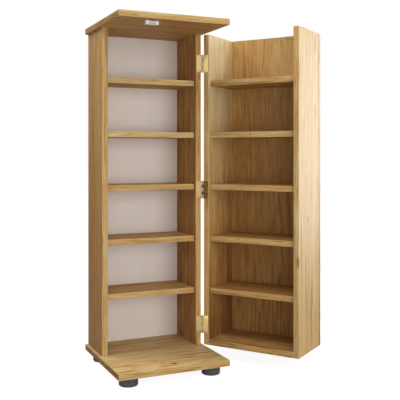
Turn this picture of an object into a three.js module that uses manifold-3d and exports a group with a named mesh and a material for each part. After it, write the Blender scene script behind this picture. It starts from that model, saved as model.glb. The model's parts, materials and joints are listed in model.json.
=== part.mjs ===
// A storage tower for discs: an open shelved cabinet, and a shelved door that swings on three butt hinges.
// Millimetres, +Z up, X to the right and Y to the back as seen from the front.
// The origin is on the floor, at the middle of the whole part's footprint with the door open.
import * as THREE from "three";
import { mergeVertices } from "three/addons/utils/BufferGeometryUtils.js";
import Module from "manifold-3d";

const wasm = await Module();
wasm.setup();

// Boards
const boardThickness = 16; // every oak board
const bodyWidth = 294; // over the cabinet's side panels
const clearHeight = 893; // base board to top board
const sidePanelDepth = 140;
const sideOverhang = 8; // top and base boards, past each side panel
const frontOverhang = 2.4; // top and base boards, past the closed door
const backPanelThickness = 3;
const backPanelMargin = 2; // in from the side panels' outer faces

// Shelves, level with each other in the cabinet and the door
const shelfCount = 5;
const lowestSpace = 149; // base board to the first shelf, the others share what is left
const cabinetShelfSetback = 12; // behind the side panels' front edges
const doorShelfSetback = 10;

// Door box, closed it stands in front of the cabinet
const doorDepth = 164; // with its face board
const doorSideInset = 2; // in from the cabinet's left side
const doorEndClearance = 1.5; // to the base board and to the top board
const doorOpenDegrees = 125.5; // from closed, as it stands

// Clearances
const boardGap = 0.2; // between boards that meet
const seatGap = 0.2; // between a fitting and what it is screwed to
const boreClearance = 0.3; // round a screw's shank
const headClearance = 0.2; // round a sunk screw's head
const packClearance = 0.2; // between the magnet, its pole plates and their pocket
const tipClearance = 1; // past a screw's tip
const screwCover = 3; // wood left past a screw's tip in a board's thickness
const overrun = 1; // of a cutting tool past the face that it enters
const mergeDistance = 0.001;

// Butt hinges
const hingeHeight = 50;
const hingeLeafReach = 18; // hinge axis to the leaf's far edge
const hingeLeafThickness = 1;
const hingeLeafClearance = 0.2; // between the closed leaves
const hingeAxisOffset = 4; // outside the cabinet's right side
const hingeKnuckleCount = 5; // odd ones are the cabinet leaf's
const hingeKnuckleRadius = 3;
const hingeKnuckleGap = 0.3;
const hingeLeafNotch = 0.6; // between a knuckle and the other leaf's plate
const hingePinRadius = 1.5;
const hingePinClearance = 0.15;
const hingePinHeadRadius = 2.2;
const hingePinHeadHeight = 0.8;
const hingeScrewSpread = 15; // hinge middle to each screw
const lowHingeHeight = 59.5; // base board to the low hinge's middle
const topHingeDrop = 84.5; // top board to the top hinge's middle

// Feet
const footRadius = 25;
const footHeight = 25;
const footInset = 38.5; // base board's edges to the foot's middle
const footRimRadius = 4; // round lower rim
const footTopBevel = 1;
const footRecessRadius = 9;
const footWeb = 6; // above the recess

// Magnetic catch under the top board
const catchLength = 37;
const catchDepth = 15;
const catchHeight = 11;
const catchOffset = -57; // tower's middle to the catch's middle
const catchEndRadius = 2;
const catchScrewInset = 5; // catch's ends to its screws
const catchScrewSeat = 5; // plastic above each screw head
const magnetLength = 18;
const magnetDepth = 9;
const magnetHeight = 4;
const poleThickness = 1.6;
const poleProjection = 2.5; // in front of the housing
const strikeClearance = 0.3; // pole plates to the strike plate, with the door closed
const strikeLength = 27;
const strikeHeight = 8.4;
const strikeThickness = 1.2;

// Screws: shank and head are radii, and length runs from a sunk head's top face or a pan head's seat
const screwGrip = boardThickness - screwCover; // in a board's thickness
const baseScrewGrip = 34; // in the end of a side panel
const hingeScrew = { shank: 1.5, length: 15, head: 2.6, headHeight: 1.2, tip: 3 };
const strikeScrew = {
  shank: 1.5, length: strikeThickness + seatGap + screwGrip, head: 2.6, headHeight: 1.1, tip: 2.5,
};
const baseScrew = { shank: 2.5, length: boardThickness + baseScrewGrip, head: 5, headHeight: 2.5, tip: 5 };
const footScrew = { shank: 2, length: footWeb + seatGap + screwGrip, head: 4.2, headHeight: 2.6, tip: 4 };
const catchScrew = {
  shank: 1.5, length: catchScrewSeat + seatGap + screwGrip, head: 2.8, headHeight: 2, tip: 3,
};
const panHeadTopShare = 0.7; // a pan head's flat top, of its radius
const baseScrewFrontInset = 25; // side panel's front edge to its front screw
const baseScrewBackInset = 12;
const baseScrewShoulder = 3.5; // radius inside the base board

// Steps round a full turn, and round a quarter turn on rims
const screwSteps = 12;
const hingeSteps = 16;
const footSteps = 28;
const rimSteps = 3;

const oak = new THREE.MeshStandardMaterial({ color: 0xc79e64, roughness: 0.55, metalness: 0 });
const backing = new THREE.MeshStandardMaterial({ color: 0xebe5e1, roughness: 0.7, metalness: 0 });
const brass = new THREE.MeshStandardMaterial({ color: 0xe3cf94, roughness: 0.35, metalness: 0.9 });
const steel = new THREE.MeshStandardMaterial({ color: 0xb8b8b6, roughness: 0.4, metalness: 0.9 });
const whitePlastic = new THREE.MeshStandardMaterial({ color: 0xeeebe6, roughness: 0.5, metalness: 0 });
const greyPlastic = new THREE.MeshStandardMaterial({ color: 0x545457, roughness: 0.6, metalness: 0 });
const ferrite = new THREE.MeshStandardMaterial({ color: 0x2e2c2b, roughness: 0.8, metalness: 0.1 });

// Places that several pieces share, with the top board's middle at X 0 and Y 0
const doorWidth = bodyWidth - doorSideInset;
const doorGap = 2 * (hingeLeafThickness + seatGap) + hingeLeafClearance;
const topWidth = bodyWidth + 2 * sideOverhang;
const topDepth = frontOverhang + doorDepth + doorGap + sidePanelDepth + backPanelThickness;
const topBack = topDepth / 2;
const panelBack = topBack - backPanelThickness;
const panelFront = panelBack - sidePanelDepth;
const bodySide = bodyWidth / 2;
const bodyInside = bodySide - boardThickness;
const baseTop = footHeight + boardThickness;
const topUnderside = baseTop + clearHeight;
const panelLow = baseTop + boardGap;
const panelHigh = topUnderside - boardGap;
const upperSpace = (clearHeight - lowestSpace - shelfCount * boardThickness) / shelfCount;

const doorBack = panelFront - doorGap; // the door's edges that face the cabinet, closed
const doorFront = doorBack - doorDepth;
const doorFaceBack = doorFront + boardThickness;
const doorHingeSide = bodySide;
const doorFreeSide = bodySide - doorWidth;
const doorLow = baseTop + doorEndClearance;
const doorHigh = topUnderside - doorEndClearance;
const hingeX = bodySide + hingeAxisOffset;
const hingeY = panelFront - doorGap / 2;

const catchLow = topUnderside - catchHeight;
const catchMiddleHeight = topUnderside - catchHeight / 2;
const strikeBack = doorFaceBack + seatGap + strikeThickness;
const poleFront = strikeBack + strikeClearance;
const catchFront = poleFront + poleProjection;
const catchMiddleY = catchFront + catchDepth / 2;

const quarterTurn = Math.PI / 2;
const up = new THREE.Vector3(0, 0, 1);
const down = new THREE.Vector3(0, 0, -1);
const toBack = new THREE.Vector3(0, 1, 0);
const toFront = new THREE.Vector3(0, -1, 0);

const tower = new THREE.Group();
const cabinet = new THREE.Group();
const doorSwing = new THREE.Group(); // turns about the hinge axis
const door = new THREE.Group(); // its pieces are placed as in the closed tower
tower.add(cabinet, doorSwing);
doorSwing.add(door);
doorSwing.position.set(hingeX, hingeY, 0);
doorSwing.rotation.z = THREE.MathUtils.degToRad(doorOpenDegrees);
door.position.set(-hingeX, -hingeY, 0);

function solidOf(geometry) {
  const bare = geometry.clone();
  bare.deleteAttribute("normal");
  bare.deleteAttribute("uv");
  const merged = mergeVertices(bare, mergeDistance);
  const vertProperties = merged.getAttribute("position").array;
  const triVerts = new Uint32Array(merged.index.array);
  return new wasm.Manifold(new wasm.Mesh({ numProp: 3, vertProperties, triVerts }));
}

function geometryOf(solid) {
  const mesh = solid.getMesh();
  const geometry = new THREE.BufferGeometry();
  geometry.setAttribute("position", new THREE.BufferAttribute(mesh.vertProperties, mesh.numProp));
  geometry.setIndex(new THREE.BufferAttribute(mesh.triVerts, 1));
  const faceted = geometry.toNonIndexed();
  faceted.computeVertexNormals();
  return faceted;
}

function cut(geometry, tools) {
  const whole = tools.reduce((solid, tool) => solid.subtract(solidOf(tool)), solidOf(geometry));
  return geometryOf(whole);
}

function join(geometries) {
  return geometryOf(geometries.map(solidOf).reduce((solid, next) => solid.add(next)));
}

function addPiece(parent, name, geometry, material, place = new THREE.Vector3()) {
  const piece = new THREE.Mesh(geometry, material);
  piece.name = name;
  piece.position.copy(place);
  parent.add(piece);
  return piece;
}

// A box between two corners.
function block(low, high) {
  const size = high.clone().sub(low);
  const middle = low.clone().add(high).divideScalar(2);
  return new THREE.BoxGeometry(size.x, size.y, size.z).translate(middle.x, middle.y, middle.z);
}

// A solid turned round Z. The outline's points are [radius, height], from the top down.
function turned(outline, steps) {
  const points = outline.map(([radius, height]) => new THREE.Vector2(radius, height));
  return new THREE.LatheGeometry(points.reverse(), steps).rotateX(quarterTurn);
}

// A round tool that starts on a face at `start` and runs into the piece along `direction`.
function bore(start, direction, radius, depth) {
  const tool = new THREE.CylinderGeometry(radius, radius, depth + overrun, screwSteps);
  tool.rotateX(quarterTurn).translate(0, 0, (depth - overrun) / 2);
  tool.applyQuaternion(new THREE.Quaternion().setFromUnitVectors(up, direction));
  return tool.translate(start.x, start.y, start.z);
}

// A board between two corners, with bores given in the same frame as the corners.
function addBoard(parent, name, low, high, material = oak, bores = []) {
  const size = high.clone().sub(low);
  const plain = block(new THREE.Vector3(), size);
  const tools = bores.map((tool) => tool.translate(-low.x, -low.y, -low.z));
  return addPiece(parent, name, tools.length ? cut(plain, tools) : plain, material, low);
}

// Outline of a screw that points down, with a sunk head's top face or a pan head's seat at height 0.
function screwOutline({ shank, length, head, headHeight, tip }, sunk, shoulder = shank, shoulderEnd = 0) {
  const headPoints = sunk
    ? [[0, 0], [head, 0], [shoulder, -headHeight]]
    : [[0, headHeight], [head * panHeadTopShare, headHeight], [head, 0], [shoulder, 0]];
  const shoulderPoints = shoulderEnd ? [[shoulder, -shoulderEnd], [shank, -shoulderEnd]] : [];
  return [...headPoints, ...shoulderPoints, [shank, tip - length], [0, -length]];
}

function addScrew(parent, name, outline, material, place, direction) {
  const screw = addPiece(parent, name, turned(outline, screwSteps), material, place);
  screw.quaternion.setFromUnitVectors(down, direction);
}

// Outline of the countersunk hole for a screw, with the plate's outer face at height 0.
function sinkOutline({ shank, head, headHeight }, plateThickness) {
  const wide = head + headClearance;
  const narrow = shank + boreClearance;
  const below = -plateThickness - overrun;
  return [[0, overrun], [wide, overrun], [wide, 0], [narrow, -headHeight], [narrow, below], [0, below]];
}

// The bore in the wood for a screw whose head sits `raised` above the wood's face.
function boreForScrew(screw, face, direction, raised = 0) {
  return bore(face, direction, screw.shank + boreClearance, screw.length - raised + tipClearance);
}

// Where the screws, feet and hinges go
const cabinetPanels = { left: -bodySide, right: bodyInside };
const footPlaces = [];
for (const [sideName, side] of [["left", -1], ["right", 1]]) {
  for (const [endName, end] of [["front", -1], ["back", 1]]) {
    const x = side * (topWidth / 2 - footInset);
    const y = end * (topDepth / 2 - footInset);
    footPlaces.push({ name: endName + "_" + sideName, place: new THREE.Vector3(x, y, 0) });
  }
}

const baseScrewPlaces = [];
for (const [sideName, panelLeft] of Object.entries(cabinetPanels)) {
  const x = panelLeft + boardThickness / 2;
  const rows = { front: panelFront + baseScrewFrontInset, back: panelBack - baseScrewBackInset };
  for (const [endName, y] of Object.entries(rows)) {
    baseScrewPlaces.push({ side: sideName, name: endName + "_" + sideName, x, y });
  }
}

const hingeMiddles = {
  low: baseTop + lowHingeHeight,
  middle: baseTop + clearHeight / 2,
  top: topUnderside - topHingeDrop,
};
const hingeScrewX = bodySide - boardThickness / 2;
const hingeScrewHeights = Object.values(hingeMiddles)
  .flatMap((middle) => [middle - hingeScrewSpread, middle + hingeScrewSpread]);
const catchScrewXs = [
  catchOffset - catchLength / 2 + catchScrewInset,
  catchOffset + catchLength / 2 - catchScrewInset,
];
const hingeLeafLift = seatGap + hingeLeafThickness; // panel edge to the leaf's outer face

function shelfUnderside(i) {
  return baseTop + lowestSpace + i * (boardThickness + upperSpace);
}

// Top and base boards
function addTopAndBase() {
  const low = (z) => new THREE.Vector3(-topWidth / 2, -topDepth / 2, z);
  const high = (z) => new THREE.Vector3(topWidth / 2, topDepth / 2, z);
  const catchBores = catchScrewXs.map((x) => boreForScrew(
    catchScrew, new THREE.Vector3(x, catchMiddleY, topUnderside), up, catchScrewSeat + seatGap));
  const footBores = footPlaces.map(({ place }) => boreForScrew(
    footScrew, new THREE.Vector3(place.x, place.y, footHeight), up, footWeb + seatGap));
  const shoulderBores = baseScrewPlaces.flatMap(({ x, y }) => {
    const face = new THREE.Vector3(x, y, footHeight);
    return [
      bore(face, up, baseScrewShoulder + boreClearance, boardThickness + overrun),
      bore(face, up, baseScrew.head + headClearance, baseScrew.headHeight + headClearance),
    ];
  });
  addBoard(cabinet, "base_board", low(footHeight), high(baseTop), oak, [...footBores, ...shoulderBores]);
  addBoard(cabinet, "top_board", low(topUnderside), high(topUnderside + boardThickness), oak, catchBores);
}

// Side panels, back panel and shelves of the cabinet
function addCabinetBody() {
  const hingeBores = hingeScrewHeights.map((z) => boreForScrew(
    hingeScrew, new THREE.Vector3(hingeScrewX, panelFront, z), toBack, hingeLeafLift));
  for (const [sideName, panelLeft] of Object.entries(cabinetPanels)) {
    const baseBores = baseScrewPlaces.filter(({ side }) => side === sideName).map(({ x, y }) => bore(
      new THREE.Vector3(x, y, panelLow), up, baseScrew.shank + boreClearance,
      baseScrew.length - boardThickness + tipClearance));
    addBoard(cabinet, sideName + "_side_panel",
      new THREE.Vector3(panelLeft, panelFront, panelLow),
      new THREE.Vector3(panelLeft + boardThickness, panelBack, panelHigh),
      oak, sideName === "right" ? [...baseBores, ...hingeBores] : baseBores);
  }
  addBoard(cabinet, "back_panel",
    new THREE.Vector3(backPanelMargin - bodySide, panelBack + boardGap, panelLow),
    new THREE.Vector3(bodySide - backPanelMargin, topBack, panelHigh), backing);
  for (let i = 0; i < shelfCount; i += 1) {
    addBoard(cabinet, "shelf_" + (i + 1),
      new THREE.Vector3(boardGap - bodyInside, panelFront + cabinetShelfSetback, shelfUnderside(i)),
      new THREE.Vector3(bodyInside - boardGap, panelBack, shelfUnderside(i) + boardThickness));
  }
}

// The door box, with an open top
function addDoorBox() {
  const hingeBores = hingeScrewHeights.map((z) => boreForScrew(
    hingeScrew, new THREE.Vector3(hingeScrewX, doorBack, z), toFront, hingeLeafLift));
  const boxFront = doorFaceBack + boardGap;
  const insideLeft = doorFreeSide + boardThickness + boardGap;
  const insideRight = doorHingeSide - boardThickness - boardGap;
  addBoard(door, "door_face_board",
    new THREE.Vector3(doorFreeSide, doorFront, doorLow),
    new THREE.Vector3(doorHingeSide, doorFaceBack, doorHigh), oak,
    [boreForScrew(strikeScrew, new THREE.Vector3(catchOffset, doorFaceBack, catchMiddleHeight), toFront,
      seatGap + strikeThickness)]);
  addBoard(door, "door_hinge_side_panel",
    new THREE.Vector3(doorHingeSide - boardThickness, boxFront, doorLow),
    new THREE.Vector3(doorHingeSide, doorBack, doorHigh), oak, hingeBores);
  addBoard(door, "door_free_side_panel",
    new THREE.Vector3(doorFreeSide, boxFront, doorLow),
    new THREE.Vector3(doorFreeSide + boardThickness, doorBack, doorHigh));
  addBoard(door, "door_bottom_board",
    new THREE.Vector3(insideLeft, boxFront, doorLow),
    new THREE.Vector3(insideRight, doorBack, doorLow + boardThickness));
  for (let i = 0; i < shelfCount; i += 1) {
    addBoard(door, "door_shelf_" + (i + 1),
      new THREE.Vector3(insideLeft, boxFront, shelfUnderside(i)),
      new THREE.Vector3(insideRight, doorBack - doorShelfSetback, shelfUnderside(i) + boardThickness));
  }
}

// A foot: a round plastic disc with a round lower rim and a recess for its screw
function footOutline() {
  const rim = [];
  for (let i = 0; i <= rimSteps; i += 1) {
    const angle = (quarterTurn * i) / rimSteps;
    const inset = footRimRadius * (1 - Math.cos(angle));
    rim.push([footRadius - inset, footRimRadius * (1 - Math.sin(angle))]);
  }
  const top = footHeight - seatGap;
  const hole = footScrew.shank + boreClearance;
  const recessTop = footHeight - footWeb;
  return [
    [hole, top], [footRadius - footTopBevel, top], [footRadius, top - footTopBevel], ...rim,
    [footRecessRadius, 0], [footRecessRadius, recessTop], [hole, recessTop], [hole, top],
  ];
}

function addFeet() {
  for (const { name, place } of footPlaces) {
    addPiece(cabinet, "foot_" + name, turned(footOutline(), footSteps), greyPlastic, place);
    const seat = new THREE.Vector3(place.x, place.y, footHeight - footWeb - seatGap);
    addScrew(cabinet, "foot_screw_" + name, screwOutline(footScrew, false), steel, seat, up);
  }
  for (const { name, x, y } of baseScrewPlaces) {
    const outline = screwOutline(baseScrew, true, baseScrewShoulder, boardThickness);
    addScrew(cabinet, "base_screw_" + name, outline, steel, new THREE.Vector3(x, y, footHeight), up);
  }
}

// One leaf of a hinge, about the hinge axis, from the hinge's low end. `side` is 1 for the cabinet's.
function hingeLeaf(side, knuckles) {
  const inner = side * (hingeLeafClearance / 2);
  const outer = side * (hingeLeafClearance / 2 + hingeLeafThickness);
  const [lowY, highY] = [Math.min(inner, outer), Math.max(inner, outer)];
  const plateEnd = -hingeKnuckleRadius - hingeLeafNotch;
  const boreRadius = hingePinRadius + hingePinClearance;
  const fingerEnd = -(boreRadius + hingeKnuckleRadius) / 2;
  const pieces = [block(
    new THREE.Vector3(-hingeLeafReach, lowY, 0), new THREE.Vector3(plateEnd, highY, hingeHeight))];
  for (const i of knuckles) {
    const pitch = hingeHeight / hingeKnuckleCount;
    const low = i === 0 ? 0 : i * pitch + hingeKnuckleGap / 2;
    const high = i === hingeKnuckleCount - 1 ? hingeHeight : (i + 1) * pitch - hingeKnuckleGap / 2;
    const fingerStart = plateEnd - hingeLeafThickness;
    pieces.push(block(
      new THREE.Vector3(fingerStart, lowY, low), new THREE.Vector3(fingerEnd, highY, high)));
    pieces.push(turned([
      [boreRadius, high], [hingeKnuckleRadius, high], [hingeKnuckleRadius, low], [boreRadius, low],
      [boreRadius, high],
    ], hingeSteps));
  }
  const sink = turned(sinkOutline(hingeScrew, hingeLeafThickness), screwSteps)
    .applyQuaternion(new THREE.Quaternion().setFromUnitVectors(down, side > 0 ? toBack : toFront));
  const holes = [-hingeScrewSpread, hingeScrewSpread].map((spread) => sink.clone()
    .translate(hingeScrewX - hingeX, inner, hingeHeight / 2 + spread));
  return cut(join(pieces), holes);
}

function addHinges() {
  const knuckles = [...Array(hingeKnuckleCount).keys()];
  const pin = turned([
    [0, hingeHeight + hingePinHeadHeight], [hingePinHeadRadius, hingeHeight + hingePinHeadHeight],
    [hingePinHeadRadius, hingeHeight + seatGap], [hingePinRadius, hingeHeight + seatGap],
    [hingePinRadius, -seatGap], [hingePinHeadRadius, -seatGap],
    [hingePinHeadRadius, -hingePinHeadHeight], [0, -hingePinHeadHeight],
  ], hingeSteps);
  for (const [name, middle] of Object.entries(hingeMiddles)) {
    const place = new THREE.Vector3(hingeX, hingeY, middle - hingeHeight / 2);
    const cabinetLeaf = hingeLeaf(1, knuckles.filter((i) => i % 2 === 0));
    const doorLeaf = hingeLeaf(-1, knuckles.filter((i) => i % 2 === 1));
    addPiece(cabinet, name + "_hinge_cabinet_leaf", cabinetLeaf, brass, place);
    addPiece(door, name + "_hinge_door_leaf", doorLeaf, brass, place);
    addPiece(cabinet, name + "_hinge_pin", pin, brass, place);
    for (const [end, spread] of [["low", -hingeScrewSpread], ["high", hingeScrewSpread]]) {
      const outline = screwOutline(hingeScrew, true);
      const cabinetSeat = new THREE.Vector3(hingeScrewX, panelFront - hingeLeafLift, middle + spread);
      const doorSeat = new THREE.Vector3(hingeScrewX, doorBack + hingeLeafLift, middle + spread);
      addScrew(cabinet, name + "_hinge_cabinet_screw_" + end, outline, brass, cabinetSeat, toBack);
      addScrew(door, name + "_hinge_door_screw_" + end, outline, brass, doorSeat, toFront);
    }
  }
}

// A block with its two ends rounded, standing on Z 0
function roundEndedBlock(length, depth, height, radius) {
  const shape = new THREE.Shape();
  const [x, y] = [length / 2, depth / 2];
  shape.moveTo(-x + radius, -y);
  shape.lineTo(x - radius, -y);
  shape.absarc(x - radius, -y + radius, radius, -quarterTurn, 0, false);
  shape.absarc(x - radius, y - radius, radius, 0, quarterTurn, false);
  shape.absarc(-x + radius, y - radius, radius, quarterTurn, 2 * quarterTurn, false);
  shape.absarc(-x + radius, -y + radius, radius, 2 * quarterTurn, 3 * quarterTurn, false);
  return new THREE.ExtrudeGeometry(shape, { depth: height, bevelEnabled: false, curveSegments: rimSteps });
}

// The catch: a plastic housing whose magnet holds two pole plates that stand out in front
function addCatch() {
  const place = new THREE.Vector3(catchOffset, catchMiddleY, catchLow);
  const pocketHeight = magnetHeight + 2 * (poleThickness + 2 * packClearance);
  const pocketSide = magnetLength / 2 + packClearance;
  const front = -catchDepth / 2;
  const pocket = block(
    new THREE.Vector3(-pocketSide, front - overrun, (catchHeight - pocketHeight) / 2),
    new THREE.Vector3(pocketSide, front + magnetDepth + packClearance, (catchHeight + pocketHeight) / 2));
  const screwTools = catchScrewXs.flatMap((x) => {
    const start = new THREE.Vector3(x - catchOffset, 0, 0);
    return [
      bore(start, up, catchScrew.shank + boreClearance, catchHeight + overrun),
      bore(start, up, catchScrew.head + boreClearance, catchHeight - catchScrewSeat),
    ];
  });
  const housing = roundEndedBlock(catchLength, catchDepth, catchHeight - seatGap, catchEndRadius);
  addPiece(cabinet, "catch_housing", cut(housing, [pocket, ...screwTools]), whitePlastic, place);

  const magnetLow = catchMiddleHeight - magnetHeight / 2;
  const magnetHigh = catchMiddleHeight + magnetHeight / 2;
  const lowerPoleTop = magnetLow - packClearance;
  const upperPoleLow = magnetHigh + packClearance;
  const addSlab = (name, slabFront, bottom, top, material) => addPiece(cabinet, name, block(
    new THREE.Vector3(-magnetLength / 2, 0, 0),
    new THREE.Vector3(magnetLength / 2, catchFront + magnetDepth - slabFront, top - bottom)),
  material, new THREE.Vector3(catchOffset, slabFront, bottom));
  addSlab("catch_magnet", catchFront, magnetLow, magnetHigh, ferrite);
  addSlab("catch_lower_pole_plate", poleFront, lowerPoleTop - poleThickness, lowerPoleTop, steel);
  addSlab("catch_upper_pole_plate", poleFront, upperPoleLow, upperPoleLow + poleThickness, steel);
  for (const [i, name] of ["left", "right"].entries()) {
    const seat = new THREE.Vector3(catchScrewXs[i], catchMiddleY, topUnderside - catchScrewSeat - seatGap);
    addScrew(cabinet, "catch_screw_" + name, screwOutline(catchScrew, false), steel, seat, up);
  }
}

// The strike plate inside the face board, which the closed door brings against the catch
function addStrike() {
  const plate = block(
    new THREE.Vector3(-strikeLength / 2, 0, -strikeHeight / 2),
    new THREE.Vector3(strikeLength / 2, strikeThickness, strikeHeight / 2));
  const hole = turned(sinkOutline(strikeScrew, strikeThickness), screwSteps)
    .applyQuaternion(new THREE.Quaternion().setFromUnitVectors(down, toFront))
    .translate(0, strikeThickness, 0);
  const place = new THREE.Vector3(catchOffset, doorFaceBack + seatGap, catchMiddleHeight);
  addPiece(door, "strike_plate", cut(plate, [hole]), steel, place);
  const seat = new THREE.Vector3(catchOffset, strikeBack, catchMiddleHeight);
  addScrew(door, "strike_screw", screwOutline(strikeScrew, true), steel, seat, toFront);
}

addTopAndBase();
addCabinetBody();
addDoorBox();
addFeet();
addHinges();
addCatch();
addStrike();

// Bring the middle of the footprint to the origin
tower.updateMatrixWorld(true);
const extent = new THREE.Box3().setFromObject(tower, true);
const middle = extent.getCenter(new THREE.Vector3());
tower.position.set(-middle.x, -middle.y, -extent.min.z);

const part = new THREE.Group();
part.add(tower);

export default part;
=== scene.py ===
import json
import math
import bmesh
import bpy
from mathutils import Matrix, Vector


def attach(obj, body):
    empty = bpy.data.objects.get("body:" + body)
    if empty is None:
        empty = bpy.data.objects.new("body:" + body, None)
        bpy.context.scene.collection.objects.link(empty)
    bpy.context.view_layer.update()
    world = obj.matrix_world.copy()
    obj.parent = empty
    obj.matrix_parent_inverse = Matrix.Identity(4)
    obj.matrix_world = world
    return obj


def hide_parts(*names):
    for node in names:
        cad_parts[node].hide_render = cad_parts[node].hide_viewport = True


# Disc storage tower: oak-finish boards with banded edges, a shelved door on three brass hinges, four round
# feet. Metres, in the CAD's frame. Door pieces are made as in the closed tower and then turned open.

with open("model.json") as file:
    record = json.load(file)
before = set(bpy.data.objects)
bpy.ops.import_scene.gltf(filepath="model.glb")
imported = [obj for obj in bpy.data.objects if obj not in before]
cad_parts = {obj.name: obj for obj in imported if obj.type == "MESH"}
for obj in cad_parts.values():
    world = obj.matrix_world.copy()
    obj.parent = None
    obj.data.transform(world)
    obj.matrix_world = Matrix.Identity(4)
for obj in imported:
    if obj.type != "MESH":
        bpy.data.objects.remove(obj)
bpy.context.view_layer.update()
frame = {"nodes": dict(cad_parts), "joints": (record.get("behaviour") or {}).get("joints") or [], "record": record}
nodes = frame["nodes"]
doorNodes = frame["record"]["behaviour"]["bodies"]["door"]
hinge = frame["joints"][0]
hingePoint = Vector(hinge["pos_m"])
openTurn = Matrix.Rotation(math.radians(-hinge["range_deg"][0]), 4, "Z")
openDoor = Matrix.Translation(hingePoint) @ openTurn @ Matrix.Translation(-hingePoint)
closeDoor = openDoor.inverted()
print("frame loaded,", len(nodes), "CAD nodes")


# Helpers for node trees
def setInputs(tree, node, inputs):
    # another node's output is linked, and anything else becomes the input's own value
    for key, value in inputs.items():
        if isinstance(value, bpy.types.NodeSocket):
            tree.links.new(value, node.inputs[key])
        else:
            node.inputs[key].default_value = value


def addNode(tree, kind, inputs=None, **settings):
    node = tree.nodes.new(kind)
    for key, value in settings.items():
        setattr(node, key, value)
    setInputs(tree, node, inputs or {})
    return node


def calc(tree, operation, *values):
    return addNode(tree, "ShaderNodeMath", dict(enumerate(values)), operation=operation).outputs[0]


def calcAll(tree, operation, values):
    # one value from many, such as their sum or the largest of them
    result = values[0]
    for value in values[1:]:
        result = calc(tree, operation, result, value)
    return result


def vectorCalc(tree, operation, *values):
    return addNode(tree, "ShaderNodeVectorMath", dict(enumerate(values)), operation=operation).outputs[0]


def makeVector(tree, *parts):
    return addNode(tree, "ShaderNodeCombineXYZ", dict(enumerate(parts))).outputs[0]


def noise(tree, vector, stretch, detail, roughness):
    # stretch is the pattern's repeats per metre along each axis
    scaled = vectorCalc(tree, "MULTIPLY", vector, stretch)
    inputs = {"Vector": scaled, "Scale": 1.0, "Detail": detail, "Roughness": roughness}
    return addNode(tree, "ShaderNodeTexNoise", inputs).outputs["Fac"]


def remap(tree, value, low, high, newLow, newHigh, smooth=False):
    inputs = {0: value, 1: low, 2: high, 3: newLow, 4: newHigh}
    kind = "SMOOTHSTEP" if smooth else "LINEAR"
    return addNode(tree, "ShaderNodeMapRange", inputs, interpolation_type=kind).outputs[0]


def ramp(tree, value, stops):
    node = addNode(tree, "ShaderNodeValToRGB", {0: value})
    elements = node.color_ramp.elements
    while len(elements) < len(stops):
        elements.new(0.5)
    for element, (position, colour) in zip(elements, stops):
        element.position = position
        element.color = (*colour, 1)
    return node.outputs[0]


def blendColours(tree, share, first, second):
    # share is 0 for the first colour and 1 for the second
    return addNode(tree, "ShaderNodeMix", {0: share, 6: first, 7: (*second, 1)}, data_type="RGBA").outputs[2]


def readAttribute(tree, name, output="Fac"):
    return addNode(tree, "ShaderNodeAttribute", attribute_name=name).outputs[output]


def newMaterial(name):
    material = bpy.data.materials.new(name)
    material.use_nodes = True
    tree = material.node_tree
    return material, tree, tree.nodes["Principled BSDF"]


def finishMaterial(tree, shader, colour, roughness, height, strength, distance):
    bump = addNode(tree, "ShaderNodeBump", {"Height": height, "Strength": strength, "Distance": distance})
    setInputs(tree, shader, {"Base Color": colour, "Roughness": roughness, "Normal": bump.outputs[0]})


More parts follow.
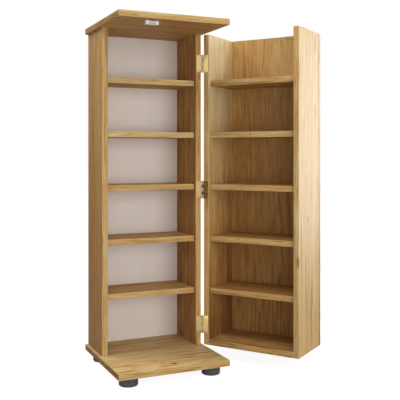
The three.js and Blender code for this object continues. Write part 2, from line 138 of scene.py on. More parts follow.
# Oak finish. The attribute "grain" holds metres along, across and into the board, counted from the
# middle of the tree that its picture comes from, so each board shows its own piece of the pattern.
oakLook = {
    "tones": [  # from brown to pale
        (0.06, (0.20, 0.092, 0.030)), (0.30, (0.41, 0.206, 0.064)), (0.50, (0.60, 0.358, 0.128)),
        (0.70, (0.665, 0.497, 0.244)), (0.94, (0.765, 0.635, 0.375))],
    "middleTone": 0.54,  # of a board whose own tone is 0
    "lineColour": (0.20, 0.092, 0.030), "redBrown": (0.47, 0.225, 0.075),
    "knotHeart": (0.12, 0.046, 0.014), "knotRim": (0.30, 0.125, 0.038), "crackColour": (0.26, 0.105, 0.022),
    "haloShare": 0.5, "crackShare": 0.74, "seamShare": 0.85,  # how strongly these colours cover the oak
    "noises": {  # repeats per metre along, across and into the board, then detail and roughness
        "drift": ((1.4, 6, 6), 1, 0.5), "ripple": ((5, 40, 40), 2, 0.5), "ringPlaces": ((2.2, 14, 14), 2, 0.5),
        "planks": ((0.6, 10, 10), 2, 0.5), "streaks": ((1.6, 80, 80), 3, 0.6),
        "strokes": ((11, 105, 115), 3, 0.62), "fine": ((9.0, 360, 360), 3, 0.6),
        "flecks": ((24, 210, 230), 2, 0.5), "pores": ((38, 1500, 1500), 2, 0.5),
        "red": ((5.0, 62, 68), 3, 0.5), "lines": ((1.8, 110, 110), 2, 0.5),
        "veins": ((0.8, 24, 26), 3, 0.55), "veinPlaces": ((3.1, 17, 19), 1, 0.5),
    },
    "weights": {"planks": 0.50, "streaks": 0.50, "strokes": 0.68, "fine": 0.45},  # in the figure
    "drift": 0.024, "ripple": 0.0022,  # how far the grain wanders sideways, in metres
    "ringWidth": 0.0046, "ringTaper": 0.045,  # year rings, and their slant along the board
    "ringShades": ((0.0, 0.75), (0.10, 0.05), (0.22, 0.30), (0.75, 0.95), (1.0, 0.75)), "ringMiddle": 0.62,

    # two values of a pattern, and what it gives at each
    "ringShare": (0.35, 0.65, 0.03, 0.20), "fleckDark": (0.60, 0.76, 0.0, 0.32),
    "poreDark": (0.30, 0.42, 0.16, 0.0), "redShare": (0.53, 0.72, 0.0, 0.45),
    "veinShare": (0.46, 0.60, 0.0, 0.50), "veinWidth": (0.0, 0.016, 1.0, 0.0),
    "lineShare": (0.665, 0.745, 0.0, 0.52), "crackLine": (0.5, 1.0, 1.0, 0.0),
    "knotCore": (0.45, 1.15, 1.0, 0.0), "knotHalo": (0.8, 2.8, 1.0, 0.0), "knotPull": (0.0, 5.5, 1.0, 0.0),
    "rimShare": (0.0, 0.6, 0.0, 0.85), "heartShare": (0.5, 1.0, 0.0, 0.9),
    "roughness": (0.35, 0.75, 0.44, 0.58), "gloss": (0.0, 0.8, 0.05, 0.0075),
    "pullShare": 1.9, "mostPull": 0.008,  # rings bend round a knot by this much of its half width
    "ringBump": 0.35, "poreBump": 0.8, "bumpStrength": 0.45, "bumpDistance": 0.00012,

    "knots": {  # middle in the grain's own metres, then half the length, width and depth
        "base": ((4.0080, -0.0080, 0.30), (0.0075, 0.0070, 0.035)),
        "left side": ((7.36, 0.158, 0.145), (0.0083, 0.0032, 0.016)),
        "left side low": ((7.02, 0.122, 0.145), (0.0073, 0.0028, 0.014)),
        "face": ((14.23, 0.045, 0.061), (0.0104, 0.0040, 0.020)),
        "hinge side": ((20.52, 0.01, 0.045), (0.0078, 0.0030, 0.015)),
    },
    "cracks": {  # fine dark lines, in the same way
        "base, behind the knot": ((4.0965, 0.0535, 0.30), (0.074, 0.0044, 0.2)),
        "base, from the knot": ((3.9785, -0.0190, 0.30), (0.030, 0.0036, 0.2)),
        "base, front left": ((3.8745, -0.0225, 0.30), (0.034, 0.0042, 0.2)),
        "free side, top": ((17.411, 0.112, 0.16), (0.034, 0.0032, 0.2)),
        "free side, high": ((17.224, 0.114, 0.16), (0.031, 0.0028, 0.2)),
        "free side, dash": ((16.922, 0.170, 0.16), (0.012, 0.0028, 0.2)),
        "free side, long": ((16.818, 0.110, 0.16), (0.065, 0.0022, 0.2)),
        "free side, by the edge": ((16.833, 0.217, 0.16), (0.124, 0.0020, 0.2)),
        "free side, low": ((16.634, 0.109, 0.16), (0.057, 0.0026, 0.2)),
        "free side, on its edge band": ((16.8125, 0.2339, 0.1545), (0.021, 0.0060, 0.0045)),
    },
}


def markDistances(tree, point, marks):
    # from each mark's middle, where 1 is the end of its half length, width or depth
    distances = []
    for middle, halves in marks:
        squeezed = vectorCalc(tree, "DIVIDE", vectorCalc(tree, "SUBTRACT", point, middle), halves)
        length = addNode(tree, "ShaderNodeVectorMath", {0: squeezed}, operation="LENGTH")
        distances.append(length.outputs["Value"])
    return distances


def oakMaterial():
    look = oakLook
    material, tree, shader = newMaterial("oakFinish")

    def do(operation, *values):
        return calc(tree, operation, *values)

    def pattern(name, vector):
        return noise(tree, vector, *look["noises"][name])

    def swing(name, vector):
        return do("SUBTRACT", pattern(name, vector), 0.5)  # to both sides of 0

    def spread(name, value, smooth=True):
        return remap(tree, value, *look[name], smooth=smooth)

    grain = readAttribute(tree, "grain", "Vector")
    lift, strength, seam = [readAttribute(tree, name) for name in ("tone", "figure", "seam")]
    along, across, inward = addNode(tree, "ShaderNodeSeparateXYZ", {0: grain}).outputs
    drift = do("MULTIPLY", swing("drift", grain), look["drift"])
    ripple = do("MULTIPLY", swing("ripple", grain), look["ripple"])
    sideways = do("ADD", across, do("ADD", drift, ripple))
    rippled = makeVector(tree, along, do("ADD", across, ripple), inward)
    warped = makeVector(tree, along, sideways, inward)

    knots = look["knots"].values()
    fromKnots = markDistances(tree, grain, knots)
    knotCore = calcAll(tree, "MAXIMUM", [spread("knotCore", distance) for distance in fromKnots])
    knotHalo = calcAll(tree, "MAXIMUM", [spread("knotHalo", distance) for distance in fromKnots])
    pulls = [min(halves[1] * look["pullShare"], look["mostPull"]) for middle, halves in knots]
    pulled = [do("MULTIPLY", spread("knotPull", distance), pull) for distance, pull in zip(fromKnots, pulls)]
    fromCracks = markDistances(tree, rippled, look["cracks"].values())
    cracks = calcAll(tree, "MAXIMUM", [spread("crackLine", distance) for distance in fromCracks])

    # year rings, as lines on a quarter-sawn face and arches on a flat-sawn one, bent round the knots
    square = do("ADD", do("MULTIPLY", sideways, sideways), do("MULTIPLY", inward, inward))
    radius = do("ADD", do("SQRT", square), calcAll(tree, "ADD", pulled))
    slanted = do("ADD", radius, do("MULTIPLY", along, look["ringTaper"]))
    phase = do("FRACT", do("DIVIDE", slanted, look["ringWidth"]))
    rings = ramp(tree, phase, [(position, (shade,) * 3) for position, shade in look["ringShades"]])
    ringShare = spread("ringShare", pattern("ringPlaces", grain), smooth=False)

    # the figure of all layers, and the colour that it picks
    layers = {name: pattern(name, warped) for name in look["weights"]}
    figure = 0.0
    for name, weight in look["weights"].items():
        figure = do("MULTIPLY_ADD", do("SUBTRACT", layers[name], 0.5), weight, figure)
    figure = do("SUBTRACT", figure, spread("fleckDark", pattern("flecks", warped)))
    figure = do("MULTIPLY_ADD", do("SUBTRACT", rings, look["ringMiddle"]), ringShare, figure)
    tone = do("MULTIPLY_ADD", figure, strength, do("ADD", lift, look["middleTone"]))
    pores = pattern("pores", warped)
    poreDark = spread("poreDark", pores, smooth=False)
    colour = ramp(tree, do("SUBTRACT", tone, poreDark), look["tones"])
    veins = spread("veinWidth", do("ABSOLUTE", swing("veins", warped)))
    for share, over in (
            (do("MULTIPLY", spread("redShare", pattern("red", warped)), strength), "redBrown"),
            (do("MULTIPLY", veins, spread("veinShare", pattern("veinPlaces", grain))), "lineColour"),
            (spread("lineShare", pattern("lines", warped)), "lineColour"),
            (do("MULTIPLY", knotHalo, look["haloShare"]), "redBrown"),
            (do("MULTIPLY", cracks, look["crackShare"]), "crackColour"),
            (spread("rimShare", knotCore, smooth=False), "knotRim"),
            (spread("heartShare", knotCore, smooth=False), "knotHeart"),
            (do("MULTIPLY", seam, look["seamShare"]), "lineColour")):
        colour = blendColours(tree, share, colour, look[over])

    roughness = spread("roughness", do("ADD", layers["fine"], poreDark), smooth=False)
    height = do("ADD", do("MULTIPLY", rings, look["ringBump"]), do("MULTIPLY", pores, look["poreBump"]))
    gloss = spread("gloss", do("MAXIMUM", cracks, knotCore), smooth=False)  # knots and cracks are duller
    setInputs(tree, shader, {"Specular IOR Level": gloss})
    finishMaterial(tree, shader, colour, roughness, height, look["bumpStrength"], look["bumpDistance"])
    return material


# Finishes that read the piece's own place in the frame, with a pattern of a few millimetres
plainLooks = {
    "paleBacking": {
        "colours": ((0.885, 0.838, 0.808), (0.92, 0.878, 0.85)), "roughness": (0.52, 0.66),
        "stretch": (18, 18, 7), "fine": 900, "metallic": 0.0, "bump": 0.00006},
    "paleBrass": {
        "colours": ((0.84, 0.64, 0.28), (0.98, 0.82, 0.43)), "roughness": (0.38, 0.52),
        "stretch": (500, 500, 90), "fine": 2600, "metallic": 1.0, "bump": 0.00003},
    "zincSteel": {
        "colours": ((0.47, 0.47, 0.46), (0.62, 0.62, 0.61)), "roughness": (0.28, 0.44),
        "stretch": (300, 300, 300), "fine": 3200, "metallic": 1.0, "bump": 0.00003},
    # painted dark reflection: steel made dark and brown, as if it mirrored dark surroundings
    "darkReflectionZinc": {
        "colours": ((0.30, 0.19, 0.085), (0.42, 0.275, 0.125)), "roughness": (0.42, 0.58),
        "stretch": (260, 260, 260), "fine": 2400, "metallic": 1.0, "bump": 0.00004},
    "whitePlastic": {
        "colours": ((0.90, 0.87, 0.84), (0.95, 0.925, 0.90)), "roughness": (0.36, 0.48),
        "stretch": (90, 90, 90), "fine": 1800, "metallic": 0.0, "bump": 0.00004},
    "greyPlastic": {
        "colours": ((0.060, 0.060, 0.064), (0.092, 0.092, 0.098)), "roughness": (0.46, 0.62),
        "stretch": (120, 120, 120), "fine": 2400, "metallic": 0.0, "bump": 0.00008},
    "blackFerrite": {
        "colours": ((0.018, 0.017, 0.017), (0.045, 0.042, 0.041)), "roughness": (0.62, 0.80),
        "stretch": (400, 400, 400), "fine": 3000, "metallic": 0.0, "bump": 0.00006},
}
plainMix = {  # for all of them: detail and roughness of the two noises, and how they are used
    "broadNoise": (3, 0.55), "fineNoise": (3, 0.6), "broadShare": 0.65, "fineShare": 0.35,
    "colourStops": (0.36, 0.62), "roughnessStops": (0.35, 0.65), "bumpStrength": 0.5,
}
# the dark brown over brass: tarnish spots, also used on the hinges as painted shade
tarnishAndShadeLook = {
    "colour": (0.17, 0.092, 0.038), "rougher": 0.25,
    "noise": ((260, 260, 200), 4, 0.65), "spots": (0.36, 0.56, 0.88, 1.0),
}


def plainMaterial(name, tarnishedAndShaded=False):
    look, mix, wearAndShade = plainLooks[name], plainMix, tarnishAndShadeLook
    material, tree, shader = newMaterial(name)
    point = addNode(tree, "ShaderNodeTexCoord").outputs["Object"]
    broad = noise(tree, point, look["stretch"], *mix["broadNoise"])
    fine = noise(tree, point, (look["fine"],) * 3, *mix["fineNoise"])
    mixed = calc(tree, "MULTIPLY_ADD", fine, mix["fineShare"], calc(tree, "MULTIPLY", broad, mix["broadShare"]))
    colour = ramp(tree, mixed, list(zip(mix["colourStops"], look["colours"])))
    roughness = remap(tree, mixed, *mix["roughnessStops"], *look["roughness"])
    # tarnish spots with the hinges' painted shade, as much as the piece's attribute asks
    if tarnishedAndShaded:
        spots = remap(tree, noise(tree, point, *wearAndShade["noise"]), *wearAndShade["spots"], smooth=True)
        share = calc(tree, "MULTIPLY", readAttribute(tree, "tarnishAndShade"), spots)
        colour = blendColours(tree, share, colour, wearAndShade["colour"])
        roughness = calc(tree, "MULTIPLY_ADD", share, wearAndShade["rougher"], roughness)
    setInputs(tree, shader, {"Metallic": look["metallic"]})
    finishMaterial(tree, shader, colour, roughness, fine, mix["bumpStrength"], look["bump"])
    return material


# each finish, with a slot name beside it
oak = (oakMaterial(), "oak")
backing = (plainMaterial("paleBacking"), "backing")
brass = (plainMaterial("paleBrass", tarnishedAndShaded=True), "brass")
steel = (plainMaterial("zincSteel"), "steel")
# for the strike plate and its screw, with the painted dark reflection
darkReflectionSteel = (plainMaterial("darkReflectionZinc"), "steel")
whitePlastic = (plainMaterial("whitePlastic"), "white_plastic")
greyPlastic = (plainMaterial("greyPlastic"), "grey_plastic")
ferrite = (plainMaterial("blackFerrite"), "ferrite")
print("materials made:", len(bpy.data.materials))

# Helpers for meshes
sharpAngle = 34  # degrees between faces that meet in a sharp edge
roundSteps = 32  # faces round a small turned piece
leastCorner = 0.00002  # radius of a corner that has none left
onAxis = 0.000001  # a turned point nearer to the axis than this is on it
mergeDistance = 0.0000001


def cornersOfPoints(points):
    return [Vector([pick(point[i] for point in points) for i in range(3)]) for pick in (min, max)]


def cornersOf(name):
    # a node's lowest and highest corner, with the door closed
    points = [vertex.co for vertex in nodes[name].data.vertices]
    return cornersOfPoints([closeDoor @ point for point in points] if name in doorNodes else points)


def centreOf(name):
    low, high = cornersOf(name)
    return (low + high) / 2


def addObject(name, mesh):
    piece = bpy.data.objects.new(name, mesh)
    bpy.context.scene.collection.objects.link(piece)
    return piece


def meshFrom(shape, name):
    mesh = bpy.data.meshes.new(name)
    shape.to_mesh(mesh)
    shape.free()
    return mesh


def bakeModifiers(piece):
    # the evaluated shape as a plain mesh
    bpy.context.view_layer.update()
    made = bpy.data.meshes.new_from_object(piece.evaluated_get(bpy.context.evaluated_depsgraph_get()))
    piece.modifiers.clear()
    piece.data = made


def finishPiece(piece, finish, replaced):
    # last step for every piece: open the door's pieces, give the finish, and ride on the body
    material, slot = finish
    body = "door" if replaced and replaced[0] in doorNodes else "cabinet"
    if body == "door":
        piece.data.transform(openDoor)
    if not piece.data.materials:
        piece.data.materials.append(material)
    piece.data.shade_smooth()
    piece.data.set_sharp_from_angle(angle=math.radians(sharpAngle))
    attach(piece, body)
    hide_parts(*replaced)


def arc(start, steps):
    # (cosine, sine) along a quarter turn that starts at so many degrees
    angles = [math.radians(start + 90 * k / steps) for k in range(steps + 1)]
    return [(math.cos(angle), math.sin(angle)) for angle in angles]


def roundedRing(halfX, halfY, radius, steps):
    return [(signX * (halfX - radius) + radius * x, signY * (halfY - radius) + radius * y)
            for quarter, (signX, signY) in enumerate(((1, 1), (-1, 1), (-1, -1), (1, -1)))
            for x, y in arc(90 * quarter, steps)]


def skinRings(shape, rings):
    # faces between each ring of points and the next
    for upper, lower in zip(rings, rings[1:]):
        for i in range(len(upper)):
            j = (i + 1) % len(upper)
            face = list(dict.fromkeys((upper[i], lower[i], lower[j], upper[j])))
            if len(face) > 2:
                shape.faces.new(face)


def slabPiece(name, low, high, edgeRadius, steps=3, cornerRadius=None, seam=None):
    # A slab as rings from the middle of one face, over its rounded edges, to the other face.
    # seam is (distance from the edge, width, depth) of the fine groove beside the edge band.
    size, middle = high - low, (low + high) / 2
    thin = min(range(3), key=lambda i: size[i])
    acrossAxis, upAxis = (thin + 1) % 3, (thin + 2) % 3
    halfX, halfY, halfThin = size[acrossAxis] / 2, size[upAxis] / 2, size[thin] / 2
    cornerRadius = cornerRadius or edgeRadius
    profile = []
    if seam:
        inset, width, depth = seam
        profile += [(inset + width / 2, halfThin), (inset, halfThin - depth), (inset - width / 2, halfThin)]
    profile += [(edgeRadius * (1 - y), halfThin - edgeRadius * (1 - x)) for x, y in arc(0, steps)]
    profile += [(inset, -height) for inset, height in reversed(profile)]
    shape = bmesh.new()
    rings = []
    for inset, height in profile:
        ring = []
        for x, y in roundedRing(halfX - inset, halfY - inset, max(cornerRadius - inset, leastCorner), steps):
            point = middle.copy()
            point[acrossAxis] += x
            point[upAxis] += y
            point[thin] += height
            ring.append(shape.verts.new(point))
        rings.append(ring)
    shape.faces.new(rings[0])
    skinRings(shape, rings)
    shape.faces.new(reversed(rings[-1]))
    mesh = meshFrom(shape, name)
    if seam:
        marks = mesh.attributes.new("seam", "FLOAT", "POINT")
        count = len(rings[0])
        for index in (1, len(profile) - 2):  # the bottom of the groove on each face
            for i in range(count):
                marks.data[index * count + i].value = 1.0
    return addObject(name, mesh)


def turnedPiece(name, outline, steps, move, closed=False):
    # a solid turned round Z, then moved; the outline's points are (radius, height), top to bottom outside
    shape = bmesh.new()
    circle = [(math.cos(2 * math.pi * i / steps), math.sin(2 * math.pi * i / steps)) for i in range(steps)]
    rings = []
    for radius, height in outline:
        if radius < onAxis:
            rings.append([shape.verts.new((0, 0, height))] * steps)
        else:
            rings.append([shape.verts.new((radius * x, radius * y, height)) for x, y in circle])
    skinRings(shape, rings + rings[:1] if closed else rings)
    mesh = meshFrom(shape, name)
    mesh.transform(move)
    return addObject(name, mesh)


# Cutters, which start a little outside the face that they cut
cutterLook = {"overlap": 0.0005, "throughDepth": 0.004, "blockEdge": 0.00005}


def sinkCutter(point, outward, sink):
    # a countersink as (radius at the face, depth, radius inside), with a short hole below it
    radius, depth, narrow = sink
    above, below = cutterLook["overlap"], -cutterLook["throughDepth"]
    outline = [(0, above), (radius, above), (radius, 0), (narrow, -depth), (narrow, below), (0, below)]
    turn = Vector((0, 0, 1)).rotation_difference(outward).to_matrix().to_4x4()
    return turnedPiece("cutter", outline, roundSteps, Matrix.Translation(point) @ turn)


def cutAway(piece, cutters):
    # takes the cutters' shapes out of the piece
    for cutter in cutters:
        taking = piece.modifiers.new("cut", "BOOLEAN")
        taking.operation = "DIFFERENCE"
        taking.solver = "EXACT"
        taking.object = cutter
        bakeModifiers(piece)
        bpy.data.objects.remove(cutter)


# Geometry Nodes helpers
def newTree(name, inputs):
    # every tree also takes the piece's own mesh first and a finish last
    tree = bpy.data.node_groups.new(name, "GeometryNodeTree")
    inputs = {"Geometry": "Geometry", **inputs, "Finish": "Material"}
    for label, kind in inputs.items():
        tree.interface.new_socket(label, in_out="INPUT", socket_type="NodeSocket" + kind)
    tree.interface.new_socket("Geometry", in_out="OUTPUT", socket_type="NodeSocketGeometry")
    given = addNode(tree, "NodeGroupInput").outputs
    return tree, [given[label] for label in inputs]


def shapeNode(tree, kind, inputs=None, **settings):
    return addNode(tree, "GeometryNode" + kind, inputs, **settings).outputs[0]


def endTree(tree, geometry, finish):
    real = shapeNode(tree, "RealizeInstances", {0: geometry})
    finished = shapeNode(tree, "SetMaterial", {"Geometry": real, "Material": finish})
    addNode(tree, "NodeGroupOutput", {0: finished})
    return tree


def runTree(piece, tree, values):
    # sets the inputs by their identifiers, then turns the result into a plain mesh
    modifier = piece.modifiers.new(tree.name, "NODES")
    modifier.node_group = tree
    identifiers = {item.name: item.identifier for item in tree.interface.items_tree if item.in_out == "INPUT"}
    for label, value in values.items():
        modifier[identifiers[label]] = value
    bakeModifiers(piece)


def storeValue(tree, geometry, name, value, kind, domain):
    inputs = {"Geometry": geometry, "Name": name, "Value": value}
    return shapeNode(tree, "StoreNamedAttribute", inputs, data_type=kind, domain=domain)


def storedValue(tree, name, kind):
    return shapeNode(tree, "InputNamedAttribute", {"Name": name}, data_type=kind)


def latheNodes(tree, rings, steps):
    # a turned solid from pairs of radius and height, lowest first
    last = float(len(rings) - 1)
    drum = shapeNode(tree, "MeshCylinder", {
        "Vertices": steps, "Side Segments": len(rings) - 1, "Fill Segments": 1, "Radius": 1.0, "Depth": 1.0})
    x, y, z = addNode(tree, "ShaderNodeSeparateXYZ", {0: shapeNode(tree, "InputPosition")}).outputs
    level = calc(tree, "ROUND", calc(tree, "MULTIPLY_ADD", z, last, last / 2))
    picked = []
    for values in zip(*rings):
        choice = addNode(tree, "GeometryNodeIndexSwitch", data_type="FLOAT")
        while len(choice.index_switch_items) < len(rings):
            choice.index_switch_items.new()
        setInputs(tree, choice, dict(enumerate((level, *values))))
        picked.append(choice.outputs[0])
    radius, height = picked
    target = makeVector(tree, calc(tree, "MULTIPLY", x, radius), calc(tree, "MULTIPLY", y, radius), height)
    shaped = shapeNode(tree, "SetPosition", {"Geometry": drum, "Position": target})
    return shapeNode(tree, "MergeByDistance", {"Geometry": shaped, "Distance": mergeDistance})


# Boards. "grain" is the axis that the grain runs along, and "from" is where on the tree the board's picture
# starts: along, across and into it. Far across gives straight lines, close in gives arches. "tone" is paler
# above 0 and browner below; on the free side it is paler as painted light, on the right side browner as
# painted shade. The slope setting is a painted gradient of light and shade: the tone's change per metre
# along the board, on the face that the side setting names, or on both. "band" is the tone of its edges, and
# "figure" is how strongly the grain shows.
boardLook = {
    "edgeRadius": 0.0010,
    "seam": (0.0013, 0.0004, 0.00018),  # distance from the edge, width, and a depth that shades sharply
    "baseSink": (0.0053, 0.0027, 0.0030),  # countersinks under the base board
    "boards": {
        "top_board": {"from": (1.0, 0.13, 0.10), "tone": -0.10, "band": 0.06},
        "base_board": {"from": (4.0, 0.115, 0.30), "tone": 0.10, "band": -0.02},
        # painted shade: darker towards the bottom
        "left_side_panel": {
            "grain": 2, "from": (6.6, 0.14, 0.145), "tone": -0.14, "paintedLightSlope": 0.22, "figure": 0.5},
        # painted shade: browner all over, and browner still towards the bottom
        "right_side_panel": {"grain": 2, "from": (9.4, 0.19, 0.12), "tone": -0.17, "paintedLightSlope": 0.14},
        # painted shade: darker towards the bottom
        "door_face_board": {
            "grain": 2, "from": (13.6, 0.02, 0.055), "tone": -0.07, "paintedLightSlope": 0.15, "figure": 0.65},
        # painted light: the free side is paler all over, and a little paler towards the top
        "door_free_side_panel": {
            "grain": 2, "from": (17.0, 0.16, 0.16), "tone": 0.10, "paintedLightSlope": 0.03, "figure": 0.55},
        # painted light and shade: the inner face is much paler towards its top and browner below
        "door_hinge_side_panel": {
            "grain": 2, "from": (19.6, 0.00, 0.038), "tone": -0.03, "paintedLightSlope": 1.0, "paintedLightSide": -1,
            "figure": 0.7},
        "door_bottom_board": {"from": (23.0, 0.10, 0.12), "tone": -0.20, "band": -0.09},
    },
    "shelfRows": {
        "cabinet_shelves": {
            "prefix": "shelf_", "from": (26.0, 0.12, 0.10), "tone": -0.10, "band": 0.08, "figure": 0.85},
        "door_shelves": {
            "prefix": "door_shelf_", "from": (35.0, 0.10, 0.14), "tone": -0.15, "band": 0.02, "figure": 0.85},
    },
    "shelfCount": 5,
    "shelfGrainStep": (1.37, 0.041, 0.019),  # so that no two shelves in a row look the same
    "usual": {"grain": 0, "paintedLightSlope": 0.0, "paintedLightSide": 0, "band": 0.0, "figure": 1.0},  # where none is given
    "bandShift": (1.3, 0.19, 0.13),  # end bands come from another strip
    "bandFigure": 1.0,
    "paintedEndShade": -0.26,  # end bands are this much browner, a painted shade
    "paintedArrisHighlight": 0.16,  # and the rounded edges this much paler, a painted highlight
    "arrisTilt": 0.985,  # no part of their normals is longer than this
}


def boardPiece(name, low, high, given, cutters=()):
    # with the oak picture's coordinates at every corner, for faces, long edges and end bands
    look, settings = boardLook, {**boardLook["usual"], **given}
    piece = slabPiece(name, low, high, look["edgeRadius"], seam=look["seam"])
    cutAway(piece, cutters)
    mesh = piece.data
    low, high = cornersOfPoints([vertex.co for vertex in mesh.vertices])
    size, middle, start = high - low, (low + high) / 2, settings["from"]
    thin, grainAxis = min(range(3), key=lambda i: size[i]), settings["grain"]
    wide = 3 - grainAxis - thin
    mesh.attributes.new("grain", "FLOAT_VECTOR", "CORNER")
    mesh.attributes.new("tone", "FLOAT", "CORNER")
    mesh.attributes.new("figure", "FLOAT", "CORNER")
    values, tones, figures = [mesh.attributes[label].data for label in ("grain", "tone", "figure")]
    shift = look["bandShift"]
    for face in mesh.polygons:
        facing = max(range(3), key=lambda i: abs(face.normal[i]))
        inset = min(size[i] / 2 - abs(face.center[i] - middle[i]) for i in range(3) if i != thin)
        rounded = abs(face.normal[facing]) < look["arrisTilt"] and inset < look["edgeRadius"]
        # the painted gradient of light and shade, on the faces that it is set for
        paintedLightSlope = settings["paintedLightSlope"] if face.normal[thin] * settings["paintedLightSide"] >= 0 else 0.0
        for corner in face.loop_indices:
            local = mesh.vertices[mesh.loops[corner].vertex_index].co - middle
            value, lift = (local[grainAxis], local[wide], local[thin]), settings["band"]
            if facing == grainAxis:
                value = (local[wide] + shift[0], local[thin] + shift[1], shift[2])
                # end bands get a painted shade
                lift += look["paintedEndShade"]
            elif facing == thin:
                lift = settings["tone"] + paintedLightSlope * local[grainAxis]
            values[corner].vector = [value[i] + start[i] for i in range(3)]
            # rounded edges get a painted highlight
            tones[corner].value = lift + (look["paintedArrisHighlight"] if rounded else 0.0)
            figures[corner].value = settings["figure"] if facing == thin else look["bandFigure"]
    return piece


def shelfRowTree():
    # copies the lowest shelf upwards, and moves each copy's grain on
    tree, (shelf, count, pitch, grainStep, finish) = newTree(
        "shelfRow", {"Count": "Int", "Pitch": "Float", "Grain Step": "Vector"})
    line = shapeNode(tree, "MeshLine", {"Count": count, "Offset": makeVector(tree, 0.0, 0.0, pitch)})
    copies = shapeNode(tree, "InstanceOnPoints", {"Points": line, "Instance": shelf})
    numbered = storeValue(tree, copies, "shelfNumber", shapeNode(tree, "InputIndex"), "FLOAT", "INSTANCE")
    real = shapeNode(tree, "RealizeInstances", {0: numbered})
    number = storedValue(tree, "shelfNumber", "FLOAT")
    moved = addNode(tree, "ShaderNodeVectorMath", {0: grainStep, "Scale": number}, operation="SCALE")
    total = vectorCalc(tree, "ADD", storedValue(tree, "grain", "FLOAT_VECTOR"), moved.outputs[0])
    return endTree(tree, storeValue(tree, real, "grain", total, "FLOAT_VECTOR", "CORNER"), finish)


def buildBoards():
    look = boardLook
    for name, settings in look["boards"].items():
        low, high = cornersOf(name)
        cutters = []
        for screw in screwFamilies["base_screws"]["names"] if name == "base_board" else ():
            seat = centreOf(screw)
            seat.z = low.z
            cutters.append(sinkCutter(seat, Vector((0, 0, -1)), look["baseSink"]))
        finishPiece(boardPiece(name, low, high, settings, cutters), oak, [name])
    tree = shelfRowTree()
    for name, settings in look["shelfRows"].items():
        shelves = [settings["prefix"] + str(i + 1) for i in range(look["shelfCount"])]
        low, high = cornersOf(shelves[0])
        piece = boardPiece(name, low, high, settings)
        runTree(piece, tree, {
            "Count": look["shelfCount"], "Pitch": cornersOf(shelves[1])[0].z - low.z,
            "Grain Step": look["shelfGrainStep"], "Finish": oak[0]})
        finishPiece(piece, oak, shelves)


# Screws. Each family is one mesh for its body, and stands for the CAD's screws of that kind.
hingeLevels = ("low", "middle", "top")
footCorners = ("front_left", "front_right", "back_left", "back_right")
screwSizes = ("Head Radius", "Sink Depth", "Crown Height", "Shank Radius", "Length", "Tip Length")
recessSizes = ("Recess Length", "Recess Width", "Recess Depth")
screwShares = {
    "recess": (1.15, 0.24, 0.34),  # of the head's radius
    "rimHeight": 0.55, "rim": 0.94, "top": 0.70,  # of the crown's height, and of the head's radius
    "steps": 24,
}


def hingeScrewNames(body, levels=hingeLevels):
    return [f"{level}_hinge_{body}_screw_{end}" for level in levels for end in ("low", "high")]


screwFamilies = {  # "sizes" are in the order of screwSizes
    "cabinet_hinge_screws": {
        "names": hingeScrewNames("cabinet"), "outward": (0, -1, 0), "finish": brass, "seed": 3,
        "sizes": (0.0026, 0.0012, 0.00009, 0.0015, 0.0148, 0.003)},
    "door_hinge_screws": {
        "names": hingeScrewNames("door"), "outward": (0, 1, 0), "finish": brass, "seed": 8,
        "sizes": (0.0026, 0.0012, 0.00009, 0.0015, 0.0148, 0.003)},
    "strike_screws": {
        "names": ["strike_screw"], "outward": (0, 1, 0), "finish": darkReflectionSteel, "seed": 2,
        "sizes": (0.0026, 0.0012, 0.00009, 0.0015, 0.0140, 0.003)},
    "base_screws": {
        "names": ["base_screw_" + corner for corner in footCorners], "outward": (0, 0, -1),
        "finish": steel, "seed": 5, "sizes": (0.005, 0.0025, 0.0001, 0.0025, 0.0495, 0.005)},
    "foot_screws": {
        "names": ["foot_screw_" + corner for corner in footCorners], "outward": (0, 0, -1),
        "finish": steel, "seed": 6, "sizes": (0.0042, 0.00005, 0.0026, 0.002, 0.0190, 0.004)},
    "catch_screws": {
        "names": ["catch_screw_left", "catch_screw_right"], "outward": (0, 0, -1),
        "finish": steel, "seed": 9, "sizes": (0.0028, 0.00005, 0.002, 0.0015, 0.0180, 0.003)},
}


def screwTree():
    # one screw with a cross recess, on every point of the input, its head facing the point's "outward"
    shares = screwShares
    tree, (points, head, sink, crown, shank, length, tip, longer, shorter, deep, seed, finish) = newTree(
        "screws", {**dict.fromkeys(screwSizes + recessSizes, "Float"), "Seed": "Int"})

    def scaled(value, share):
        return calc(tree, "MULTIPLY", value, share)

    bottom = scaled(length, -1.0)
    body = latheNodes(tree, [
        (0.0, bottom), (shank, calc(tree, "ADD", bottom, tip)), (shank, scaled(sink, -1.0)), (head, 0.0),
        (scaled(head, shares["rim"]), scaled(crown, shares["rimHeight"])),
        (scaled(head, shares["top"]), crown)], shares["steps"])
    recess = addNode(tree, "GeometryNodeMeshBoolean", {"Mesh 1": body}, operation="DIFFERENCE", solver="EXACT")
    twice = scaled(deep, 2.0)
    lift = makeVector(tree, 0.0, 0.0, crown)
    for size in ((longer, shorter, twice), (shorter, longer, twice)):
        bar = shapeNode(tree, "MeshCube", {"Size": makeVector(tree, *size)})
        raised = shapeNode(tree, "Transform", {"Geometry": bar, "Translation": lift})
        setInputs(tree, recess, {"Mesh 2": raised})
    outward = storedValue(tree, "outward", "FLOAT_VECTOR")
    facing = addNode(tree, "FunctionNodeAlignRotationToVector", {"Vector": outward}, axis="Z").outputs[0]
    chance = addNode(tree, "FunctionNodeRandomValue", {"Seed": seed, 3: math.pi / 2}, data_type="FLOAT")
    angles = makeVector(tree, 0.0, 0.0, chance.outputs[1])
    spin = addNode(tree, "FunctionNodeEulerToRotation", {0: angles}).outputs[0]
    turned = addNode(tree, "FunctionNodeRotateRotation", {0: facing, 1: spin}, rotation_space="LOCAL")
    copies = shapeNode(tree, "InstanceOnPoints", {
        "Points": points, "Instance": recess.outputs[0], "Rotation": turned.outputs[0]})
    return endTree(tree, copies, finish)


